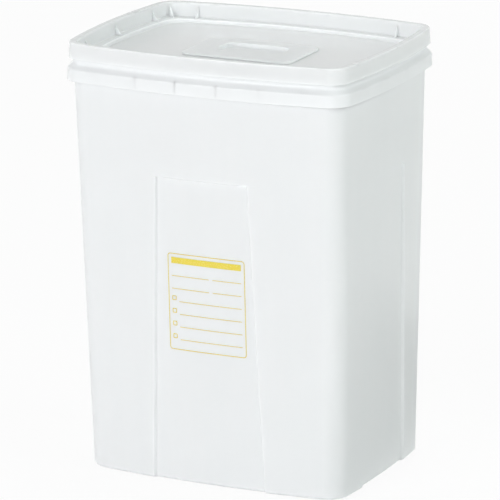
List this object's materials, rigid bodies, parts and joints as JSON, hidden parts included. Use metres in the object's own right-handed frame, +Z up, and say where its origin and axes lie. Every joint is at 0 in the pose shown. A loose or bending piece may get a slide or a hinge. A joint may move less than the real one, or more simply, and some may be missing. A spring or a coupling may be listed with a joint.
{
  "type": "sharps container",
  "caption": "White tapered plastic pail for sharps and medical waste, bowed rectangular in plan, with a hollow collar, recessed panels and a press-on tray lid with a finger-recess plug cover.",
  "frame": {"origin": "middle of the plan at the level of the foot, where the container stands on the floor", "axes": "+X along the long side, -Y is the front shown in the picture, +Z up, the way the lid lifts"},
  "size_m": [0.404, 0.307, 0.552],
  "materials": {
    "pail_polypropylene": "semi-gloss moulded white polypropylene",
    "lid_polypropylene": "gloss moulded white polypropylene",
    "seal_rubber": "soft grey foam rubber",
    "cover_polypropylene": "gloss moulded white polypropylene"
  },
  "bodies": {
    "pail": {"pail": "pail_polypropylene"},
    "lid": {"lid": "lid_polypropylene", "lid_seal": "seal_rubber"},
    "inlet_cover": {"inlet_cover": "cover_polypropylene"}
  },
  "joints": [
    {"name": "lid_lift", "type": "slide", "parent": "pail", "child": "lid", "axis": [0, 0, 1], "range_m": [0, 0.05]},
    {"name": "inlet_cover_lift", "type": "slide", "parent": "lid", "child": "inlet_cover", "axis": [0, 0, 1], "range_m": [0, 0.04]}
  ]
}
